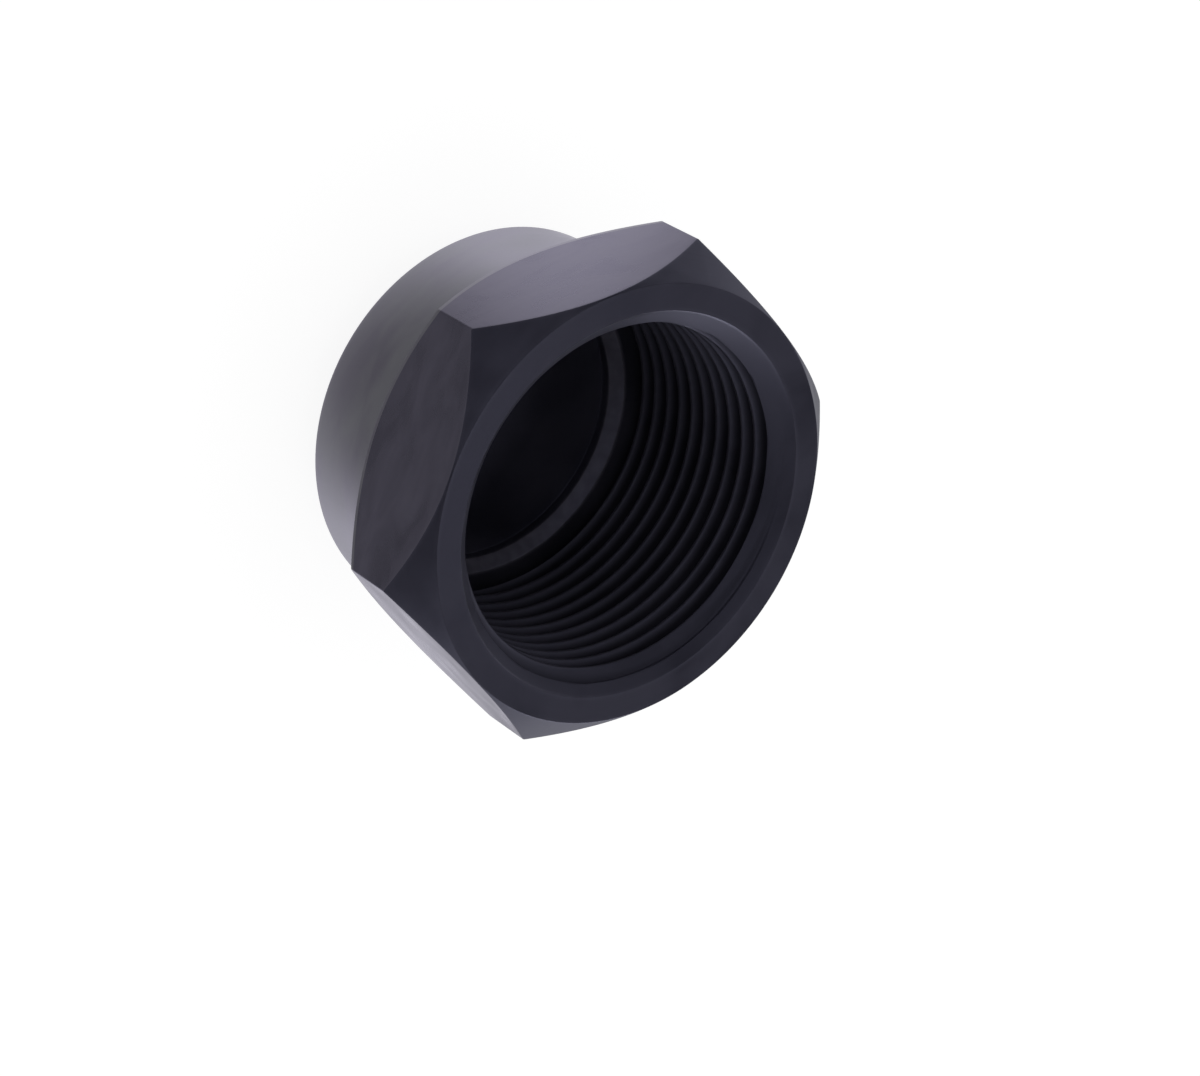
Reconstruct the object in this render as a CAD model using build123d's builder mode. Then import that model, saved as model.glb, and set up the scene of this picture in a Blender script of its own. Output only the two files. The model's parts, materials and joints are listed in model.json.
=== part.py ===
from build123d import *
from math import radians, sqrt, tan
import os

# Threaded protection cap, turned in one piece from hexagonal steel bar: a hexagonal collar
# with a round barrel behind it, bored blind from the collar's face to screw over a pipe end.
# The axis is +Z. The origin is the centre of the closed end's flat face, and the mouth is up.
# All lengths are in millimetres, and depths are measured down from the mouth's face.

# Thread: G 1 1/4 parallel pipe thread, 11 threads to the inch
thread_diameter = 41.91
thread_pitch = 25.4 / 11

# Hexagonal collar
across_flats = 50.0
face_inset = 0.1              # radial step from the flats in to the rim of the flat face
face_chamfer_angle = 48.0     # turned cone over the front corners, from the face's plane
corner_length = 6.3           # straight edge left at each corner between the two cones
rear_chamfer_angle = 45.0     # turned cone behind the corners, from the face's plane

# Barrel and closed end
barrel_wall = 1.1             # wall left between the undercut and the barrel's outside
end_wall = 3.5                # thickness of the closed end
end_chamfer = 5.25            # 45 degree chamfer round the closed end
end_edge_radius = 0.5         # soft edges at both ends of that chamfer

# Bore
countersink_width = 2.42      # radial width of the 90 degree countersink at the mouth
seat_depth = 27.0             # flat seat that the pipe's end stops against
relief_width = 1.6            # undercut above the seat, where the thread runs out
relief_clearance = 0.445      # undercut's radius beyond the thread's roots
relief_corner_radius = 0.4
recess_diameter = 34.0        # blind recess inside the seat
recess_depth = 2.5            # from the seat to the recess's floor
recess_chamfer = 1.2          # 45 degree chamfer between the seat and the recess

os.makedirs("parts", exist_ok=True)

# Whitworth form: the depth of thread is 0.640327 of the pitch
thread_depth = 0.640327 * thread_pitch
minor_radius = thread_diameter / 2 - thread_depth
mouth_radius = minor_radius + countersink_width
relief_radius = thread_diameter / 2 + relief_clearance
recess_radius = recess_diameter / 2
barrel_radius = relief_radius + barrel_wall

mouth_z = seat_depth + recess_depth + end_wall
seat_z = mouth_z - seat_depth
recess_z = seat_z - recess_depth

face_radius = across_flats / 2 - face_inset
corner_radius = across_flats / sqrt(3)
blank_radius = 0.6 * across_flats
front_slope = tan(radians(face_chamfer_angle))
rear_slope = tan(radians(rear_chamfer_angle))
front_corner_z = mouth_z - (corner_radius - face_radius) * front_slope
rear_corner_z = front_corner_z - corner_length

with BuildPart() as cap:
    # Turned blank: barrel, rear cone, a rim outside the hexagon's corners, front cone, face
    with BuildSketch(Plane.XZ) as blank_section:
        with BuildLine():
            Polyline(
                (0, 0),
                (barrel_radius - end_chamfer, 0),
                (barrel_radius, end_chamfer),
                (barrel_radius, rear_corner_z - (corner_radius - barrel_radius) * rear_slope),
                (blank_radius, rear_corner_z + (blank_radius - corner_radius) * rear_slope),
                (blank_radius, front_corner_z - (blank_radius - corner_radius) * front_slope),
                (face_radius, mouth_z),
                (0, mouth_z),
                close=True,
            )
        make_face()
        end_corners = blank_section.vertices().filter_by(lambda v: v.X > 0).sort_by(Axis.Y)[0:2]
        fillet(end_corners, radius=end_edge_radius)
    revolve(axis=Axis.Z)

    # The six flats cut the blank, which leaves each flat with two curved edges
    with BuildSketch(Plane.XY):
        RegularPolygon(radius=across_flats / 2, side_count=6, major_radius=False)
    extrude(amount=mouth_z, mode=Mode.INTERSECT)

    # Bore: recess, chamfer, seat, undercut, thread at its crests and countersink
    with BuildSketch(Plane.XZ) as bore_section:
        with BuildLine():
            Polyline(
                (0, recess_z),
                (recess_radius, recess_z),
                (recess_radius, seat_z - recess_chamfer),
                (recess_radius + recess_chamfer, seat_z),
                (relief_radius, seat_z),
                (relief_radius, seat_z + relief_width),
                (minor_radius, seat_z + relief_width),
                (minor_radius, mouth_z - countersink_width),
                (mouth_radius, mouth_z),
                (0, mouth_z),
                close=True,
            )
        make_face()
        seat_corner = bore_section.vertices().group_by(Axis.Y)[2].sort_by(Axis.X)[-1]
        fillet(seat_corner, radius=relief_corner_radius)
    revolve(axis=Axis.Z, mode=Mode.SUBTRACT)

cap.part.label = "cap"
export_step(cap.part, "parts/cap.step")
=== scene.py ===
import json
from collections import namedtuple
from math import atan2, cos, pi, radians, sin, sqrt, tan

import bmesh
import bpy
from bpy.props import FloatProperty, FloatVectorProperty, IntProperty, PointerProperty
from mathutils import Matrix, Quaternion, Vector


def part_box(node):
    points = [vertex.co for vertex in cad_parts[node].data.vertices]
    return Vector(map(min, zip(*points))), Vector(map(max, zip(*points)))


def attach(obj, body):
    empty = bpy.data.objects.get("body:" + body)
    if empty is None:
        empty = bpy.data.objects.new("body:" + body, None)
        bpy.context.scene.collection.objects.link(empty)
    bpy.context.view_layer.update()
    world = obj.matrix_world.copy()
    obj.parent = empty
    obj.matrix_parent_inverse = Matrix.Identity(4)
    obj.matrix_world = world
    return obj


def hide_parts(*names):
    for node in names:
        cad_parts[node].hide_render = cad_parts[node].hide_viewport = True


bl_info = {
    "name": "Threaded Protection Cap",
    "version": (1, 0, 0),
    "blender": (4, 5, 0),
    "location": "View3D > Sidebar > Cap",
    "description": "Makes a hexagonal protection cap with an internal pipe thread, and its studio",
    "category": "Object",
}

# The cap stands on its closed end with its mouth up. The axis is +Z and the origin is the centre
# of the closed end. Lengths are in metres, angles in radians unless a name says degrees.
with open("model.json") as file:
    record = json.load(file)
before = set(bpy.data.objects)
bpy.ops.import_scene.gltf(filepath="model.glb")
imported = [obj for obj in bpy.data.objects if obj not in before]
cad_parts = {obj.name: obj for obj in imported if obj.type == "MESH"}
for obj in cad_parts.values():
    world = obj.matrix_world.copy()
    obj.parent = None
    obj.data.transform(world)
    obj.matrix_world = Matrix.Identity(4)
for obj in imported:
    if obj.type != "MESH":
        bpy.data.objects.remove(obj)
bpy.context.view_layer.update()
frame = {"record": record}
LOW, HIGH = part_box("cap")
THREAD_MOUNT = next(m for m in frame["record"]["mounts"] if m["name"] == "thread")
THREAD_CREST_RADIUS = THREAD_MOUNT["dims"]["r_mm"] / 1000

SIDES = 6
SECTOR = 2 * pi / SIDES

# For each way of working: its marks with their spacing and depth, how the oxide over them reflects,
# how much of that the thick patches take away, and the strength of its rubbed edges and painted
# highlights
Finish = namedtuple("Finish", "marks spacing depth roughness ior dulling rub")
FINISHES = {
    "barrel": Finish("turning_marks", 0.00025, 0.000008, 0.34, 3.9, 0.12, 0.15),
    "flats": Finish("drawn_grain", 0.0006, 0.000004, 0.30, 3.05, 0.25, 0.15),
    "front": Finish("turning_marks", 0.00022, 0.000008, 0.36, 2.25, 0.1, 0.05),
    "bore": Finish("turning_marks", 0.00009, 0.000003, 0.48, 2.3, 0.1, 0.4),
}

# A corner of the section, with the finish and the rubbing of the surface that follows it.
# On the recess chamfer that rubbing is a painted highlight.
Corner = namedtuple("Corner", "radius height rounding finish wear", defaults=(0, "bore", 0))

# Softboxes: where each stands round the cap, its height, distance and two sides, and its watts
Softbox = namedtuple("Softbox", "name azimuth_deg height distance width depth power")
SOFTBOXES = (
    Softbox("low_softbox", 132, 0.08, 0.5, 0.2, 0.1, 0.25),
    Softbox("front_softbox", -17, 0.42, 0.4, 0.6, 0.15, 0.06),
    Softbox("top_softbox", 163, 0.45, 0.26, 0.12, 0.12, 0.035),
)

# The paper floor: the share of the light that it scatters, and its own glow towards the camera,
# which together show it as just white
PAPER_SHADE = 0.2
PAPER_GLOW = 0.87

# The tent that the cap mirrors: how bright it is overhead, and how much more at the horizon
TENT_TOP = 0.036
TENT_HORIZON = 0.23

# Pale cards in that tent: the direction of each, how sharply it fades out, and its brightness
Card = namedtuple("Card", "azimuth_deg elevation_deg sharpness gain")
CARDS = (
    Card(188, 0, 14.0, 0.9),
    Card(105, 15, 8.0, 0.42),
    Card(240, 48, 8.0, 0.1),
)


# ---------------------------------------------------------------- sizes and colours


class CapSizes(bpy.types.PropertyGroup):
    """Sizes of the turned and milled body."""

    across_flats: FloatProperty(
        name="Across Flats",
        description="Width of the hexagon over two opposite flats",
        default=HIGH.y - LOW.y,
        unit="LENGTH",
    )
    height: FloatProperty(
        name="Height",
        description="From the closed end to the mouth",
        default=HIGH.z,
        unit="LENGTH",
    )
    face_inset: FloatProperty(
        name="Face Inset",
        description="Radial step from the flats in to the rim of the mouth's face",
        default=0.0001,
        unit="LENGTH",
        precision=5,
    )
    face_chamfer_angle: FloatProperty(
        name="Face Chamfer Angle",
        description="Slope of the cone over the front corners, from the face's plane",
        default=radians(48),
        subtype="ANGLE",
    )
    corner_length: FloatProperty(
        name="Corner Length",
        description="Straight edge left at each corner of the hexagon between the two cones",
        default=0.0063,
        unit="LENGTH",
        precision=5,
    )
    corner_rounding: FloatProperty(
        name="Corner Rounding",
        description="Radius of the drawn bar's six corners",
        default=0.0003,
        unit="LENGTH",
        precision=5,
    )
    edge_rounding: FloatProperty(
        name="Edge Rounding",
        description="Radius of the deburred edges",
        default=0.00015,
        unit="LENGTH",
        precision=5,
    )
    barrel_radius: FloatProperty(
        name="Barrel Radius",
        description="Radius of the round barrel behind the hexagon",
        default=0.0225,
        unit="LENGTH",
        precision=5,
    )
    end_chamfer: FloatProperty(
        name="End Chamfer",
        description="45 degree chamfer round the closed end",
        default=0.00525,
        unit="LENGTH",
        precision=5,
    )
    end_rounding: FloatProperty(
        name="End Rounding",
        description="Radius of the two edges of the end chamfer",
        default=0.0005,
        unit="LENGTH",
        precision=5,
    )
    countersink: FloatProperty(
        name="Countersink",
        description="Radial width of the 90 degree countersink, from the thread's crests",
        default=0.00242,
        unit="LENGTH",
        precision=5,
    )
    undercut_radius: FloatProperty(
        name="Undercut Radius",
        description="Radius of the groove under the thread",
        default=0.0214,
        unit="LENGTH",
        precision=5,
    )
    undercut_width: FloatProperty(
        name="Undercut Width",
        description="Width of that groove along the axis",
        default=0.0016,
        unit="LENGTH",
        precision=5,
    )
    seat_depth: FloatProperty(
        name="Seat Depth",
        description="From the mouth down to the flat seat",
        default=0.027,
        unit="LENGTH",
        precision=5,
    )
    recess_radius: FloatProperty(
        name="Recess Radius",
        description="Radius of the blind recess inside the seat",
        default=0.017,
        unit="LENGTH",
        precision=5,
    )
    recess_depth: FloatProperty(
        name="Recess Depth",
        description="From the seat down to the floor of the recess",
        default=0.0025,
        unit="LENGTH",
        precision=5,
    )
    recess_chamfer: FloatProperty(
        name="Recess Chamfer",
        description="45 degree chamfer between the seat and the recess",
        default=0.0012,
        unit="LENGTH",
        precision=5,
    )
    tool_rounding: FloatProperty(
        name="Tool Rounding",
        description="Radius that the cutting tool leaves in inner corners",
        default=0.0004,
        unit="LENGTH",
        precision=5,
    )


class CapThread(bpy.types.PropertyGroup):
    """The internal pipe thread, of Whitworth form."""

    pitch: FloatProperty(
        name="Pitch",
        description="Distance from one crest to the next: 11 threads to the inch",
        default=0.0254 / 11,
        unit="LENGTH",
        precision=6,
    )
    angle: FloatProperty(
        name="Thread Angle",
        description="Angle between the two flanks of a groove",
        default=radians(55),
        subtype="ANGLE",
    )
    first_crest: FloatProperty(
        name="First Crest",
        description="Depth under the mouth of a crest, on the side of the +X axis",
        default=0.00272,
        unit="LENGTH",
        precision=5,
    )
    softness: FloatProperty(
        name="Edge Softness",
        description="Width over which the thread's ends blend into the countersink",
        default=0.00012,
        unit="LENGTH",
        precision=5,
    )
    # The crests' lighter lines are a painted highlight, not rubbed oxide
    crest_glint: FloatProperty(
        name="Crest Glint",
        description="How far the oxide is rubbed off the crests",
        default=0.25,
        subtype="FACTOR",
        min=0,
        max=1,
    )
    glint_share: FloatProperty(
        name="Glint Share",
        description="Share of the thread's depth over which that fades out",
        default=0.65,
        subtype="FACTOR",
        min=0.01,
        max=1,
    )
    rows: IntProperty(
        name="Rows",
        description="Rings of the mesh for each pitch",
        default=22,
        min=12,
    )


class CapColours(bpy.types.PropertyGroup):
    """Colours of the black oxide."""

    oxide: FloatVectorProperty(
        name="Oxide",
        description="Colour of the blackened steel under its sheen",
        default=(0.006, 0.0055, 0.009),
        subtype="COLOR",
    )
    oxide_pale: FloatVectorProperty(
        name="Pale Oxide",
        description="Colour of its thinner, greyer patches",
        default=(0.014, 0.013, 0.018),
        subtype="COLOR",
    )
    barrel_oxide: FloatVectorProperty(
        name="Barrel Oxide",
        description="Colour of the greyer barrel",
        default=(0.028, 0.024, 0.036),
        subtype="COLOR",
    )
    barrel_pale: FloatVectorProperty(
        name="Pale Barrel Oxide",
        description="Colour of the barrel's paler patches",
        default=(0.050, 0.057, 0.046),
        subtype="COLOR",
    )
    sheen: FloatVectorProperty(
        name="Sheen",
        description="Tint of what the face and the bore reflect head-on",
        default=(0.685, 0.685, 1.0),
        subtype="COLOR",
    )
    flats_sheen: FloatVectorProperty(
        name="Flats Sheen",
        description="Tint of what the flats reflect head-on",
        default=(0.79, 0.745, 1.0),
        subtype="COLOR",
    )
    barrel_sheen: FloatVectorProperty(
        name="Barrel Sheen",
        description="Tint of what the barrel reflects head-on",
        default=(0.87, 0.84, 1.0),
        subtype="COLOR",
    )
    # Colour of the rubbed edges, and of the painted highlights on the crests and the recess chamfer
    worn_and_glint: FloatVectorProperty(
        name="Edge Wear And Highlight",
        description="Colour of edges where the oxide is rubbed thin",
        default=(0.16, 0.15, 0.185),
        subtype="COLOR",
    )


class CapStudio(bpy.types.PropertyGroup):
    """Where the camera stands and what it looks at."""

    azimuth: FloatProperty(
        name="Azimuth",
        description="Direction of the camera round the cap, from -Y towards +X",
        default=radians(-16.91),
        subtype="ANGLE",
    )
    elevation: FloatProperty(
        name="Elevation",
        description="Height of the camera above the horizon",
        default=radians(46.95),
        subtype="ANGLE",
    )
    roll: FloatProperty(
        name="Roll",
        description="Turn of the camera about its line of sight",
        default=radians(121.73),
        subtype="ANGLE",
    )
    distance: FloatProperty(
        name="Distance",
        description="From the camera to the point that it looks at",
        default=0.3886,
        unit="LENGTH",
    )
    aim: FloatVectorProperty(
        name="Aim",
        description="Point that the camera looks at",
        default=(0.00655, 0.00561, 0.02329),
        subtype="XYZ",
        unit="LENGTH",
        precision=5,
    )
    lens: FloatProperty(
        name="Lens",
        description="Focal length in millimetres on a 36 mm sensor",
        default=106.6,
    )


# ---------------------------------------------------------------- shape


def hexagon_radius(azimuth, sizes):
    """Distance from the axis to the hexagon's side, with the bar's corners rounded."""
    apothem = sizes.across_flats / 2
    rounding = sizes.corner_rounding
    from_corner = abs((azimuth + SECTOR / 2) % SECTOR - SECTOR / 2)
    arc_centre = (apothem - rounding) / cos(SECTOR / 2)
    if from_corner < corner_half_angle(sizes):
        across = arc_centre * sin(from_corner)
        return arc_centre * cos(from_corner) + sqrt(rounding**2 - across**2)
    return apothem / cos(SECTOR / 2 - from_corner)


def corner_half_angle(sizes):
    """Half of the angle at the axis that a rounded corner of the bar takes up."""
    rounding = sizes.corner_rounding
    arc_centre = (sizes.across_flats / 2 - rounding) / cos(SECTOR / 2)
    return atan2(rounding * sin(SECTOR / 2), arc_centre + rounding * cos(SECTOR / 2))


def spread(first, last, steps):
    """Evenly spaced values from first to last, both included."""
    return [first + (last - first) * i / steps for i in range(steps + 1)]


def azimuths(sizes, flat_steps=40, corner_steps=3):
    """Angles of the mesh's columns: even over each flat, and close together over each corner."""
    half = corner_half_angle(sizes)
    flat_start = 1.5 * half
    sector = spread(0, half, corner_steps)
    sector += spread(flat_start, SECTOR - flat_start, flat_steps)
    sector += spread(SECTOR - half, SECTOR, corner_steps)[:-1]
    return [side * SECTOR + angle for side in range(SIDES) for angle in sector]


def outside_corners(azimuth, sizes):
    """Corners of the section at one azimuth, from the closed end's centre up to the mouth's rim."""
    side = hexagon_radius(azimuth, sizes)
    sharp_corner = sizes.across_flats / 2 / cos(SECTOR / 2)
    face_radius = sizes.across_flats / 2 - sizes.face_inset
    front_slope = tan(sizes.face_chamfer_angle)
    front_corner = sizes.height - (sharp_corner - face_radius) * front_slope
    rear_corner = front_corner - sizes.corner_length
    barrel = sizes.barrel_radius
    return [
        Corner(barrel - sizes.end_chamfer, 0, sizes.end_rounding, "barrel"),
        Corner(barrel, sizes.end_chamfer, sizes.end_rounding, "barrel"),
        Corner(barrel, rear_corner - (sharp_corner - barrel), sizes.tool_rounding, "barrel"),
        Corner(side, rear_corner - (sharp_corner - side), sizes.edge_rounding, "flats"),
        Corner(side, sizes.height - (side - face_radius) * front_slope, sizes.edge_rounding, "front"),
        Corner(face_radius, sizes.height, sizes.edge_rounding, "front"),
    ]


def inside_corners(sizes, core, thread_top):
    """Corners of the bore's section: first those above the thread, then those below it."""
    mouth = THREAD_CREST_RADIUS + sizes.countersink
    seat = sizes.height - sizes.seat_depth
    ledge = seat + sizes.undercut_width
    floor = seat - sizes.recess_depth
    recess = sizes.recess_radius
    chamfer = sizes.recess_chamfer
    above = [
        Corner(mouth, sizes.height, sizes.edge_rounding),
        Corner(mouth - (sizes.height - thread_top), thread_top),
    ]
    below = [
        Corner(core, ledge),
        Corner(sizes.undercut_radius, ledge, sizes.edge_rounding),
        Corner(sizes.undercut_radius, seat, sizes.tool_rounding),
        # The recess chamfer's light band is a painted highlight, set as a fully rubbed surface
        Corner(recess + chamfer, seat, sizes.edge_rounding, wear=1),
        Corner(recess, seat - chamfer, sizes.edge_rounding),
        Corner(recess, floor, sizes.edge_rounding),
    ]
    return above, below


def rounded(corners, before, after, segments=4, fade=0.0004):
    """Section points along corners. Each is rounded to an arc, and one point on each side of it
    ends the fade of the mask of rubbed edges and painted highlights. Outer corners are rubbed and
    inner ones aren't. A point is (radius, height, that mask, finish of the surface that follows it)."""
    path = [before, *corners, after]
    points = []
    for last, corner, following in zip(path, corners, path[2:]):
        at = Vector(corner[:2])
        if not corner.rounding:
            points.append((at.x, at.y, corner.wear, corner.finish))
            continue
        inward = (at - Vector(last[:2])).normalized()
        outward = (Vector(following[:2]) - at).normalized()
        turn = inward.angle_signed(outward)
        reach = corner.rounding * abs(tan(turn / 2))
        fade_in, fade_out = (
            min(fade, (at - Vector(neighbour[:2])).length / 4) for neighbour in (last, following)
        )
        start = at - inward * reach
        side = Vector((-inward.y, inward.x)) * (-corner.rounding if turn > 0 else corner.rounding)
        centre = start + side
        lead_in = start - inward * fade_in
        lead_out = at + outward * (reach + fade_out)
        # The edge between a flat and the cone is turned with the cone, any other with what precedes it
        arc_finish = corner.finish if last.finish == "flats" else last.finish
        points.append((lead_in.x, lead_in.y, last.wear, last.finish))
        for step in range(segments + 1):
            arm = (start - centre).to_3d()
            arm.rotate(Quaternion((0, 0, 1), -turn * step / segments))
            points.append((centre.x + arm.x, centre.y + arm.y, float(turn < 0), arc_finish))
        points.append((lead_out.x, lead_out.y, corner.wear, corner.finish))
    return points


def section(azimuth, sizes, thread):
    """All points of the section at one azimuth, from the closed end's centre round to the recess's,
    and the numbers of the first and the last one that the thread may move."""
    core = THREAD_CREST_RADIUS - thread.softness
    root = THREAD_CREST_RADIUS + whitworth(thread)["Thread Depth"]
    mouth = THREAD_CREST_RADIUS + sizes.countersink
    # The dense rows start just above the height where the grooves run out into the countersink
    thread_top = sizes.height - (mouth - root) + 2 * thread.softness
    outside = outside_corners(azimuth, sizes)
    above, below = inside_corners(sizes, core, thread_top)
    ledge = below[0].height
    floor = below[-1].height
    steps = round((thread_top - ledge) / thread.pitch * thread.rows)
    heights = spread(thread_top, ledge, steps)
    bore = [(max(core, mouth - (sizes.height - z)), z, 0, "bore") for z in heights]
    points = rounded(outside + above[:1], Corner(0, 0, finish="barrel"), above[1])
    first_row = len(points)
    points += bore
    last_row = len(points) - 1
    points += rounded(below[1:], below[0], Corner(0, floor))
    return points, first_row, last_row


def make_blank(sizes, thread, materials):
    """Mesh of the whole cap with a plain bore: rings of section points, closed by two poles."""
    bm = bmesh.new()
    # Mask of rubbed edges, and of painted highlights on the crests and the recess chamfer
    wear = bm.verts.layers.float.new("edge_wear_and_glint")
    threaded = bm.verts.layers.float.new("threaded")
    columns = []
    for azimuth in azimuths(sizes):
        points, first_row, last_row = section(azimuth, sizes, thread)
        column = []
        for row, (radius, height, worn_and_glint, _) in enumerate(points):
            vertex = bm.verts.new((radius * cos(azimuth), radius * sin(azimuth), height))
            vertex[wear] = worn_and_glint
            vertex[threaded] = first_row <= row <= last_row
            column.append(vertex)
        columns.append(column)
    # All columns have the same rows, so the last one's floor height and finishes hold for all
    bottom = bm.verts.new((0, 0, 0))
    floor = bm.verts.new((0, 0, points[-1][1]))
    finishes = [list(FINISHES).index(finish) for *_, finish in points]
    for left, right in zip(columns, columns[1:] + columns[:1]):
        bm.faces.new((bottom, right[0], left[0]))
        for row in range(len(left) - 1):
            face = bm.faces.new((left[row], right[row], right[row + 1], left[row + 1]))
            face.material_index = finishes[row]
        face = bm.faces.new((left[-1], right[-1], floor))
        face.material_index = finishes[-1]
    mesh = bpy.data.meshes.new("cap_body")
    bm.to_mesh(mesh)
    bm.free()
    for material in materials:
        mesh.materials.append(material)
    return mesh


def whitworth(thread):
    """Depth, rounding radius and flank slope of a thread whose sharp form is cut by a sixth at
    each end and rounded."""
    flank = thread.angle / 2
    sharp_depth = thread.pitch / 2 / tan(flank)
    return {
        "Thread Depth": sharp_depth * 2 / 3,
        "Rounding": sharp_depth / 6 / (1 / sin(flank) - 1),
        "Flank Slope": 1 / tan(flank),
    }


# ---------------------------------------------------------------- node helpers


def add_node(tree, kind, inputs=None, **settings):
    """Adds a node, sets its properties, and sets or links the inputs given by name or number."""
    node = tree.nodes.new(kind)
    for name, value in settings.items():
        setattr(node, name, value)
    for key, value in (inputs or {}).items():
        connect(tree, value, node.inputs[key])
    return node


def connect(tree, value, socket):
    """Links an output to a socket, or sets the socket to a plain value."""
    if isinstance(value, bpy.types.NodeSocket):
        tree.links.new(value, socket)
    else:
        socket.default_value = value


def calc(tree, operation, *values):
    """Output of a Math node."""
    node = add_node(tree, "ShaderNodeMath", dict(enumerate(values)), operation=operation)
    return node.outputs[0]


def distance_from_axis(tree, x, y):
    """Radius of a point round the Z axis."""
    squares = (calc(tree, "POWER", part, 2.0) for part in (x, y))
    return calc(tree, "SQRT", calc(tree, "ADD", *squares))


def smooth_fade(tree, value, start, end, near, far):
    """Value that goes smoothly from near, at the start of a range, to far, at its end."""
    node = add_node(tree, "ShaderNodeMapRange", {
        "Value": value, "From Min": start, "From Max": end, "To Min": near, "To Max": far
    }, interpolation_type="SMOOTHSTEP")
    return node.outputs[0]


def add_sockets(tree, direction, sockets):
    """Adds named sockets to a node group: name, kind and default."""
    for name, kind, default in sockets:
        socket = tree.interface.new_socket(name, in_out=direction, socket_type=kind)
        if default is not None:
            socket.default_value = default


def place_nodes(tree, step=190, rows=8):
    """Sets the nodes out in columns, in the order of making."""
    for i, node in enumerate(tree.nodes):
        node.location = (i // rows * step, -(i % rows) * step)


# ---------------------------------------------------------------- thread cutter


def thread_cutter():
    """Geometry nodes that cut a helical thread outwards from a plain bore round the Z axis."""
    tree = bpy.data.node_groups.new("thread_cutter", "GeometryNodeTree")
    add_sockets(tree, "INPUT", [
        ("Geometry", "NodeSocketGeometry", None),
        ("Pitch", "NodeSocketFloat", None),
        ("Crest Radius", "NodeSocketFloat", None),
        ("Crest Height", "NodeSocketFloat", None),
        ("Thread Depth", "NodeSocketFloat", None),
        ("Rounding", "NodeSocketFloat", None),
        ("Flank Slope", "NodeSocketFloat", None),
        ("Edge Softness", "NodeSocketFloat", None),
        ("Sharp Angle", "NodeSocketFloat", None),
        ("Crest Glint", "NodeSocketFloat", None),
        ("Glint Share", "NodeSocketFloat", None),
        ("Material", "NodeSocketMaterial", None),
    ])
    add_sockets(tree, "OUTPUT", [("Geometry", "NodeSocketGeometry", None)])
    given = add_node(tree, "NodeGroupInput").outputs
    pitch, rounding, slope = given["Pitch"], given["Rounding"], given["Flank Slope"]
    threaded = add_node(
        tree, "GeometryNodeInputNamedAttribute", {"Name": "threaded"}, data_type="FLOAT"
    ).outputs["Attribute"]
    in_thread = calc(tree, "GREATER_THAN", threaded, 0.5)

    # Distances along the axis from the nearest crest, and from the nearest crest or root
    position = add_node(tree, "GeometryNodeInputPosition").outputs[0]
    x, y, z = add_node(tree, "ShaderNodeSeparateXYZ", {0: position}).outputs
    turns = calc(tree, "DIVIDE", calc(tree, "ARCTAN2", y, x), 2 * pi)
    helix = calc(tree, "MULTIPLY_ADD", turns, pitch, given["Crest Height"])
    half_pitch = calc(tree, "MULTIPLY", pitch, 0.5)
    lowest = calc(tree, "MULTIPLY", pitch, -0.5)
    wrapped = calc(tree, "WRAP", calc(tree, "SUBTRACT", z, helix), half_pitch, lowest)
    from_crest = calc(tree, "ABSOLUTE", wrapped)
    from_end = calc(tree, "MINIMUM", from_crest, calc(tree, "SUBTRACT", half_pitch, from_crest))

    # Whitworth form: an arc at the crest and at the root, and a straight flank between them
    arc_angle = calc(tree, "ARCTANGENT", slope)
    arc_width = calc(tree, "MULTIPLY", rounding, calc(tree, "SINE", arc_angle))
    on_arc = calc(tree, "MINIMUM", from_end, arc_width)
    squares = (calc(tree, "POWER", length, 2.0) for length in (rounding, on_arc))
    arc_rise = calc(tree, "SUBTRACT", rounding, calc(tree, "SQRT", calc(tree, "SUBTRACT", *squares)))
    on_flank = calc(tree, "MAXIMUM", calc(tree, "SUBTRACT", from_end, arc_width), 0.0)
    rise = calc(tree, "MULTIPLY_ADD", on_flank, slope, arc_rise)
    beyond_middle = calc(tree, "GREATER_THAN", from_crest, calc(tree, "MULTIPLY", pitch, 0.25))
    fall = calc(tree, "SUBTRACT", given["Thread Depth"], rise)
    groove = add_node(
        tree,
        "GeometryNodeSwitch",
        {"Switch": beyond_middle, "False": rise, "True": fall},
        input_type="FLOAT",
    ).outputs[0]

    # The larger of the thread's and the drilled bore's radius stays
    drilled = distance_from_axis(tree, x, y)
    cut = calc(tree, "ADD", given["Crest Radius"], groove)
    radius = calc(tree, "SMOOTH_MAX", drilled, cut, given["Edge Softness"])
    scale = calc(tree, "DIVIDE", radius, drilled)
    moved = add_node(tree, "ShaderNodeCombineXYZ", {
        0: calc(tree, "MULTIPLY", x, scale), 1: calc(tree, "MULTIPLY", y, scale), 2: z
    }).outputs[0]

    # The crests get a painted highlight, and the flanks less and less with depth, but not the
    # countersink.
    # These masks are stored while the bore is still plain, because they are taken from its radius.
    depth = calc(tree, "SUBTRACT", radius, given["Crest Radius"])
    crest_glint_mask = add_node(tree, "ShaderNodeMapRange", {
        "Value": calc(tree, "DIVIDE", depth, given["Thread Depth"]),
        "From Min": 0.0,
        "From Max": given["Glint Share"],
        "To Min": given["Crest Glint"],
        "To Max": 0.0,
    }).outputs[0]
    in_bore = calc(tree, "LESS_THAN", drilled, given["Crest Radius"])
    shape = add_node(tree, "GeometryNodeStoreNamedAttribute", {
        "Geometry": given["Geometry"],
        "Selection": in_thread,
        "Name": "edge_wear_and_glint",
        "Value": calc(tree, "MULTIPLY", crest_glint_mask, in_bore),
    }, data_type="FLOAT", domain="POINT").outputs[0]

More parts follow.
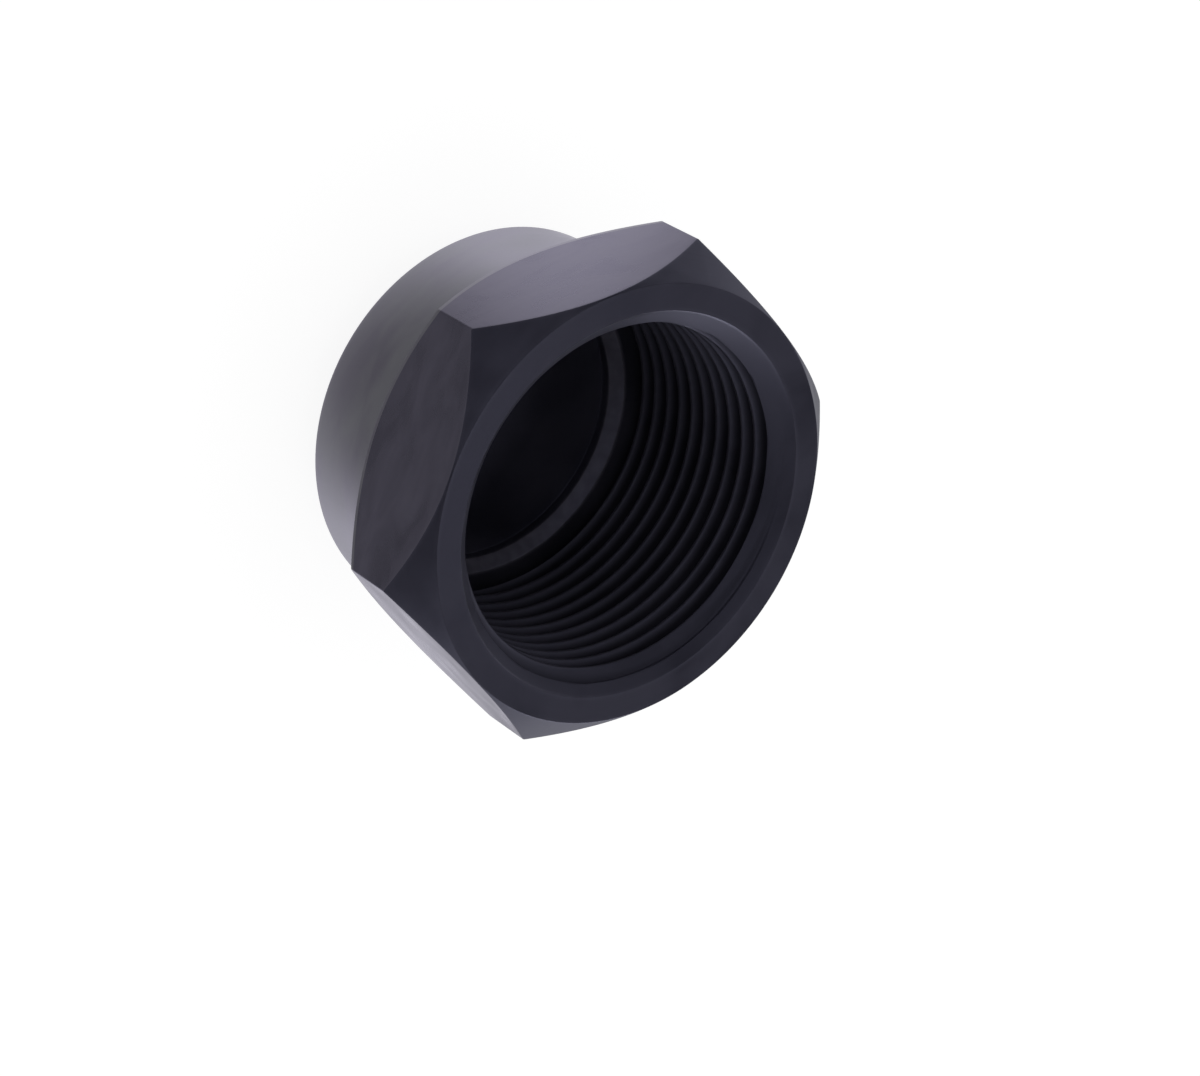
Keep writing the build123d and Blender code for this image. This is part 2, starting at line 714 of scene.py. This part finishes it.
    # Painted shade in the grooves, from none on the crests to most at the roots
    shade_in_grooves = calc(tree, "DIVIDE", calc(tree, "SUBTRACT", radius, drilled), given["Thread Depth"])
    shape = add_node(tree, "GeometryNodeStoreNamedAttribute", {
        "Geometry": shape, "Selection": in_thread, "Name": "groove_shade", "Value": shade_in_grooves
    }, data_type="FLOAT", domain="POINT").outputs[0]
    shape = add_node(tree, "GeometryNodeSetPosition", {
        "Geometry": shape, "Selection": in_thread, "Position": moved
    }).outputs[0]

    # Smooth shading, apart from the sharp edge where the thread runs out into the undercut
    shape = add_node(tree, "GeometryNodeSetShadeSmooth", {"Geometry": shape}).outputs[0]
    fold = add_node(tree, "GeometryNodeInputMeshEdgeAngle").outputs["Unsigned Angle"]
    sharp = calc(tree, "GREATER_THAN", fold, given["Sharp Angle"])
    shape = add_node(
        tree,
        "GeometryNodeSetShadeSmooth",
        {"Geometry": shape, "Selection": sharp, "Shade Smooth": False},
        domain="EDGE",
    ).outputs[0]
    shape = add_node(tree, "GeometryNodeRealizeInstances", {"Geometry": shape}).outputs[0]
    shape = add_node(tree, "GeometryNodeSetMaterial", {
        "Geometry": shape, "Selection": in_thread, "Material": given["Material"]
    }).outputs[0]
    add_node(tree, "NodeGroupOutput", {"Geometry": shape})
    place_nodes(tree)
    return tree


def give_inputs(modifier, values):
    """Sets the inputs of a Geometry Nodes modifier, given by their names in its tree."""
    for item in modifier.node_group.interface.items_tree:
        if item.name in values:
            modifier[item.identifier] = values[item.name]


def apply_modifiers(piece):
    """Turns the piece's modifiers into plain mesh."""
    bpy.context.view_layer.update()
    evaluated = piece.evaluated_get(bpy.context.evaluated_depsgraph_get())
    mesh = bpy.data.meshes.new_from_object(evaluated)
    mesh.name = piece.name
    piece.modifiers.clear()
    piece.data = mesh


# ---------------------------------------------------------------- shader groups


def shader_group(name, inputs, outputs):
    """Empty shader node group with its sockets, and its input and output nodes."""
    tree = bpy.data.node_groups.new(name, "ShaderNodeTree")
    add_sockets(tree, "INPUT", inputs)
    add_sockets(tree, "OUTPUT", outputs)
    return tree, add_node(tree, "NodeGroupInput").outputs, add_node(tree, "NodeGroupOutput")


def emptied(owner):
    """Node tree of a material or a world, without its default nodes."""
    owner.use_nodes = True
    owner.node_tree.nodes.clear()
    return owner.node_tree


def place_group(tree, group, inputs=None):
    """Outputs of a node group placed in a material."""
    return add_node(tree, "ShaderNodeGroup", inputs, node_tree=group).outputs


def object_coordinates(tree, stretch=None):
    """Object coordinates, or these times a vector."""
    coordinates = add_node(tree, "ShaderNodeTexCoord").outputs["Object"]
    if stretch is None:
        return coordinates
    node = add_node(tree, "ShaderNodeVectorMath", {0: coordinates, 1: stretch}, operation="MULTIPLY")
    return node.outputs[0]


def turning_marks():
    """Height of the fine rings that a lathe tool leaves, at any slope of the section."""
    tree, given, out = shader_group(
        "turning_marks", [("Spacing", "NodeSocketFloat", 0.0002)], [("Height", "NodeSocketFloat", None)]
    )
    x, y, z = add_node(tree, "ShaderNodeSeparateXYZ", {0: object_coordinates(tree)}).outputs
    # The weight of 1.7 keeps radius and height from cancelling out along a 45 degree cone
    travel = calc(tree, "MULTIPLY_ADD", z, 1.7, distance_from_axis(tree, x, y))
    along = calc(tree, "DIVIDE", travel, given["Spacing"])
    # Rings at the given spacing, and wider ones among them
    fine, broad = (
        add_node(
            tree,
            "ShaderNodeTexNoise",
            {"W": along, "Scale": scale, "Detail": detail},
            noise_dimensions="1D",
        ).outputs["Fac"]
        for scale, detail in ((1.0, 3.0), (0.12, 1.0))
    )
    height = calc(tree, "MULTIPLY_ADD", fine, 0.6, calc(tree, "MULTIPLY", broad, 0.4))
    connect(tree, height, out.inputs["Height"])
    place_nodes(tree)
    return tree


def drawn_grain():
    """Height of the faint lines along a drawn bar."""
    tree, given, out = shader_group(
        "drawn_grain", [("Spacing", "NodeSocketFloat", 0.0003)], [("Height", "NodeSocketFloat", None)]
    )
    # Slower along the axis, so that the noise draws out into lines
    lines = add_node(tree, "ShaderNodeTexNoise", {
        "Vector": object_coordinates(tree, stretch=(1.0, 1.0, 0.04)),
        "Scale": calc(tree, "DIVIDE", 1.0, given["Spacing"]),
        "Detail": 3.0,
    })
    connect(tree, lines.outputs["Fac"], out.inputs["Height"])
    place_nodes(tree)
    return tree


def oxide_mottle():
    """Colour, thickness and roughness of black oxide, with smudges that run across the axis."""
    tree, given, out = shader_group(
        "oxide_mottle",
        [
            ("Oxide", "NodeSocketColor", None),
            ("Pale Oxide", "NodeSocketColor", None),
            ("Patch Size", "NodeSocketFloat", 0.009),
            ("Roughness", "NodeSocketFloat", 0.45),
            ("Roughness Change", "NodeSocketFloat", 0.12),
        ],
        [
            ("Color", "NodeSocketColor", None),
            ("Thickness", "NodeSocketFloat", None),
            ("Roughness", "NodeSocketFloat", None),
        ],
    )
    patches = add_node(tree, "ShaderNodeTexNoise", {
        "Vector": object_coordinates(tree, stretch=(1.0, 1.0, 2.4)),
        "Scale": calc(tree, "DIVIDE", 1.0, given["Patch Size"]),
        "Detail": 3.0,
        "Roughness": 0.5,
        "Distortion": 0.5,
    }).outputs["Fac"]
    thin = add_node(tree, "ShaderNodeMapRange", {
        "Value": patches, "From Min": 0.34, "From Max": 0.66
    }).outputs[0]
    mix = add_node(
        tree,
        "ShaderNodeMix",
        {"Factor": thin, 6: given["Oxide"], 7: given["Pale Oxide"]},
        data_type="RGBA",
    )
    shift = calc(tree, "MULTIPLY", calc(tree, "SUBTRACT", thin, 0.5), given["Roughness Change"])
    connect(tree, mix.outputs[2], out.inputs["Color"])
    connect(tree, calc(tree, "SUBTRACT", 1.0, thin), out.inputs["Thickness"])
    connect(tree, calc(tree, "ADD", given["Roughness"], shift), out.inputs["Roughness"])
    place_nodes(tree)
    return tree


def edge_rub_and_glint():
    """Mask of the edges where handling has rubbed the oxide thin, and of the painted highlights
    on the thread's crests and the recess chamfer.
    """
    tree, given, out = shader_group(
        "edge_rub_and_glint", [("Amount", "NodeSocketFloat", 0.5)], [("Mask", "NodeSocketFloat", None)]
    )
    edge = add_node(tree, "ShaderNodeAttribute", attribute_name="edge_wear_and_glint").outputs["Fac"]
    # The rubbed patches and painted highlights come and go about every millimetre
    breaks = add_node(tree, "ShaderNodeTexNoise", {
        "Vector": object_coordinates(tree), "Scale": 900.0, "Detail": 3.0
    }).outputs["Fac"]
    patchy = add_node(tree, "ShaderNodeMapRange", {
        "Value": breaks, "From Min": 0.35, "From Max": 0.65, "To Min": 0.6
    }).outputs[0]
    worn_and_glint = calc(tree, "MULTIPLY", calc(tree, "MULTIPLY", edge, patchy), given["Amount"])
    connect(tree, worn_and_glint, out.inputs["Mask"])
    place_nodes(tree)
    return tree


def groove_shade():
    """Mask of the painted shade in the thread's grooves."""
    tree, given, out = shader_group(
        "groove_shade", [("Amount", "NodeSocketFloat", 0.6)], [("Mask", "NodeSocketFloat", None)]
    )
    depth = add_node(tree, "ShaderNodeAttribute", attribute_name="groove_shade").outputs["Fac"]
    film = smooth_fade(tree, depth, start=0.1, end=0.7, near=0.0, far=1.0)
    connect(tree, calc(tree, "MULTIPLY", film, given["Amount"]), out.inputs["Mask"])
    place_nodes(tree)
    return tree


def blackened(name, groups, palette, worn_and_glint):
    """Blackened steel with the marks, sheen and rubbed edges of one finish, and the painted
    highlights and painted groove shade that the mesh marks.
    """
    finish = FINISHES[name]
    material = bpy.data.materials.new("blackened_" + name)
    tree = emptied(material)
    thick, thin, sheen = palette
    oxide = place_group(tree, groups["oxide_mottle"], {
        "Oxide": (*thick, 1.0), "Pale Oxide": (*thin, 1.0), "Roughness": finish.roughness
    })
    # Rubbed edges, and painted highlights on the bore's crests and recess chamfer
    rubbed = place_group(tree, groups["edge_rub_and_glint"], {"Amount": finish.rub})
    colour = add_node(
        tree,
        "ShaderNodeMix",
        {"Factor": rubbed["Mask"], 6: oxide["Color"], 7: (*worn_and_glint, 1.0)},
        data_type="RGBA",
    ).outputs[2]
    # Thick oxide and painted groove shade take the sheen away, as near-black metal mirroring next to
    # nothing
    shade_in_grooves = place_group(tree, groups["groove_shade"])
    dulled = calc(tree, "MULTIPLY", oxide["Thickness"], finish.dulling)
    black = calc(tree, "MAXIMUM", dulled, shade_in_grooves["Mask"])
    worked = place_group(tree, groups[finish.marks], {"Spacing": finish.spacing})
    bump = add_node(tree, "ShaderNodeBump", {
        "Strength": 1.0, "Distance": finish.depth, "Height": worked["Height"]
    })
    surface = add_node(tree, "ShaderNodeBsdfPrincipled", {
        "Base Color": colour,
        "Metallic": black,
        "Roughness": oxide["Roughness"],
        "IOR": finish.ior,
        "Specular Tint": (*sheen, 1.0),
        "Normal": bump.outputs["Normal"],
    })
    add_node(tree, "ShaderNodeOutputMaterial", {"Surface": surface.outputs["BSDF"]})
    place_nodes(tree)
    return material


# ---------------------------------------------------------------- studio


def direction_to(azimuth, elevation):
    """Unit vector at an azimuth from -Y towards +X and an elevation above the horizon."""
    return Vector((sin(azimuth) * cos(elevation), -cos(azimuth) * cos(elevation), sin(elevation)))


def facing(tree, vector, azimuth_deg, elevation_deg=0):
    """How far a vector reaches in a direction."""
    direction = direction_to(radians(azimuth_deg), radians(elevation_deg))
    node = add_node(tree, "ShaderNodeVectorMath", {0: vector, 1: direction}, operation="DOT_PRODUCT")
    return node.outputs["Value"]


def make_floor():
    """Wide paper floor, white to the camera. The cap mirrors it as pale close by, and as darker
    further out and towards the tent's opening."""
    bm = bmesh.new()
    bmesh.ops.create_grid(bm, x_segments=1, y_segments=1, size=3.0)
    mesh = bpy.data.meshes.new("studio_floor")
    bm.to_mesh(mesh)
    bm.free()
    floor = bpy.data.objects.new("studio_floor", mesh)
    bpy.context.scene.collection.objects.link(floor)
    material = bpy.data.materials.new("studio_floor")
    tree = emptied(material)
    rays = add_node(tree, "ShaderNodeLightPath").outputs
    position = object_coordinates(tree)
    distance = add_node(tree, "ShaderNodeVectorMath", {0: position}, operation="LENGTH")
    pool = smooth_fade(tree, distance.outputs["Value"], start=0.045, end=0.057, near=0.84, far=0.32)
    towards_opening = facing(tree, position, azimuth_deg=-9)
    side = smooth_fade(tree, towards_opening, start=0.011, end=0.033, near=1.2, far=0.1)
    mirrored = calc(tree, "MULTIPLY", calc(tree, "MULTIPLY", pool, side), rays["Is Glossy Ray"])
    seen = calc(tree, "MULTIPLY", rays["Is Camera Ray"], PAPER_GLOW)
    glow = add_node(tree, "ShaderNodeEmission", {"Strength": calc(tree, "MAXIMUM", mirrored, seen)})
    paper = add_node(tree, "ShaderNodeBsdfDiffuse", {
        "Color": (PAPER_SHADE, PAPER_SHADE, PAPER_SHADE, 1.0)
    })
    both = add_node(tree, "ShaderNodeAddShader", {0: glow.outputs[0], 1: paper.outputs[0]})
    add_node(tree, "ShaderNodeOutputMaterial", {"Surface": both.outputs[0]})
    place_nodes(tree)
    mesh.materials.append(material)


def make_world():
    """Light tent, white but for what the cap mirrors: a dim tent, paler round the horizon, with
    pale cards."""
    world = bpy.data.worlds.new("light_tent")
    bpy.context.scene.world = world
    tree = emptied(world)
    direction = add_node(tree, "ShaderNodeTexCoord").outputs["Generated"]
    _, _, height = add_node(tree, "ShaderNodeSeparateXYZ", {0: direction}).outputs
    fall = calc(tree, "POWER", calc(tree, "MAXIMUM", calc(tree, "SUBTRACT", 1.0, height), 0.0), 2.0)
    mirrored = calc(tree, "MULTIPLY_ADD", fall, TENT_HORIZON, TENT_TOP)
    for card in CARDS:
        towards = facing(tree, direction, card.azimuth_deg, card.elevation_deg)
        spot = calc(tree, "POWER", calc(tree, "MAXIMUM", towards, 0.0), card.sharpness)
        mirrored = calc(tree, "MULTIPLY_ADD", spot, card.gain, mirrored)
    glossy = add_node(tree, "ShaderNodeLightPath").outputs["Is Glossy Ray"]
    mix = add_node(tree, "ShaderNodeMix", {"Factor": glossy, "A": 1.0, "B": mirrored})
    backdrop = add_node(tree, "ShaderNodeBackground", {"Strength": mix.outputs["Result"]})
    add_node(tree, "ShaderNodeOutputWorld", {"Surface": backdrop.outputs[0]})
    place_nodes(tree)


def add_lamp(softbox):
    """Rectangular lamp that faces the cap's middle."""
    lamp = bpy.data.lights.new(softbox.name, "AREA")
    lamp.shape = "RECTANGLE"
    lamp.size = softbox.width
    lamp.size_y = softbox.depth
    lamp.energy = softbox.power
    box = bpy.data.objects.new(softbox.name, lamp)
    bpy.context.scene.collection.objects.link(box)
    foot = direction_to(radians(softbox.azimuth_deg), 0) * softbox.distance
    box.location = foot + Vector((0, 0, softbox.height))
    box.rotation_mode = "QUATERNION"
    box.rotation_quaternion = (Vector((0, 0, HIGH.z / 2)) - box.location).to_track_quat("-Z", "Y")


def add_camera(studio):
    """Camera at the viewing angle, rolled about its line of sight."""
    camera = bpy.data.objects.new("camera", bpy.data.cameras.new("camera"))
    bpy.context.scene.collection.objects.link(camera)
    back = direction_to(studio.azimuth, studio.elevation)
    camera.data.lens = studio.lens
    camera.data.clip_start = 0.01
    camera.data.clip_end = 10
    camera.location = Vector(studio.aim) + back * studio.distance
    camera.rotation_mode = "QUATERNION"
    level = (-back).to_track_quat("-Z", "Y")
    camera.rotation_quaternion = level @ Quaternion((0, 0, 1), studio.roll)
    bpy.context.scene.camera = camera


# ---------------------------------------------------------------- operators and panel


class CAP_OT_make_body(bpy.types.Operator):
    """Make the cap's one-piece body: turned, with a hexagon, a countersunk bore and its thread"""

    bl_idname = "cap.make_body"
    bl_label = "Make Cap Body"

    def execute(self, context):
        sizes, thread = context.scene.cap_sizes, context.scene.cap_thread
        colours = context.scene.cap_colours
        makers = (turning_marks, drawn_grain, oxide_mottle, edge_rub_and_glint, groove_shade)
        groups = {tree.name: tree for tree in (make() for make in makers)}
        dark = (colours.oxide, colours.oxide_pale)
        grey = (colours.barrel_oxide, colours.barrel_pale)
        palettes = {
            "barrel": (*grey, colours.barrel_sheen),
            "flats": (*dark, colours.flats_sheen),
            "front": (*dark, colours.sheen),
            "bore": (*dark, colours.sheen),
        }
        materials = {name: blackened(name, groups, palettes[name], colours.worn_and_glint) for name in FINISHES}
        body = bpy.data.objects.new("cap_body", make_blank(sizes, thread, materials.values()))
        context.scene.collection.objects.link(body)
        cutter = body.modifiers.new("thread", "NODES")
        cutter.node_group = thread_cutter()
        give_inputs(cutter, {
            "Pitch": thread.pitch,
            "Crest Radius": THREAD_CREST_RADIUS,
            "Crest Height": sizes.height - thread.first_crest,
            **whitworth(thread),
            "Edge Softness": thread.softness,
            "Sharp Angle": radians(50),
            "Crest Glint": thread.crest_glint,
            "Glint Share": thread.glint_share,
            "Material": materials["bore"],
        })
        normals = body.modifiers.new("normals", "WEIGHTED_NORMAL")
        normals.keep_sharp = True
        apply_modifiers(body)
        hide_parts("cap")
        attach(body, "root")
        return {"FINISHED"}


class CAP_OT_make_studio(bpy.types.Operator):
    """Make the floor, the light tent, the lamps and the camera"""

    bl_idname = "cap.make_studio"
    bl_label = "Make Studio"

    def execute(self, context):
        make_floor()
        make_world()
        for softbox in SOFTBOXES:
            add_lamp(softbox)
        add_camera(context.scene.cap_studio)
        context.scene.view_settings.view_transform = "Standard"
        return {"FINISHED"}


class CAP_PT_panel(bpy.types.Panel):
    """Sizes, colours and operators of the cap"""

    bl_label = "Threaded Protection Cap"
    bl_idname = "CAP_PT_panel"
    bl_space_type = "VIEW_3D"
    bl_region_type = "UI"
    bl_category = "Cap"

    def draw(self, context):
        for settings in (getattr(context.scene, name) for name in SETTINGS):
            box = self.layout.box()
            for name in settings.__annotations__:
                box.prop(settings, name)
        self.layout.operator(CAP_OT_make_body.bl_idname)
        self.layout.operator(CAP_OT_make_studio.bl_idname)


SETTINGS = {
    "cap_sizes": CapSizes,
    "cap_thread": CapThread,
    "cap_colours": CapColours,
    "cap_studio": CapStudio,
}
CLASSES = (*SETTINGS.values(), CAP_OT_make_body, CAP_OT_make_studio, CAP_PT_panel)


def register():
    """Registers the classes and hangs the settings on the scene."""
    for cls in CLASSES:
        bpy.utils.register_class(cls)
    for name, cls in SETTINGS.items():
        setattr(bpy.types.Scene, name, PointerProperty(type=cls))


def unregister():
    """Takes away what register() added."""
    for name in SETTINGS:
        delattr(bpy.types.Scene, name)
    for cls in reversed(CLASSES):
        bpy.utils.unregister_class(cls)


def main():
    """Makes the cap and its studio."""
    register()
    bpy.ops.cap.make_body()
    bpy.ops.cap.make_studio()


if __name__ == "__main__":
    main()
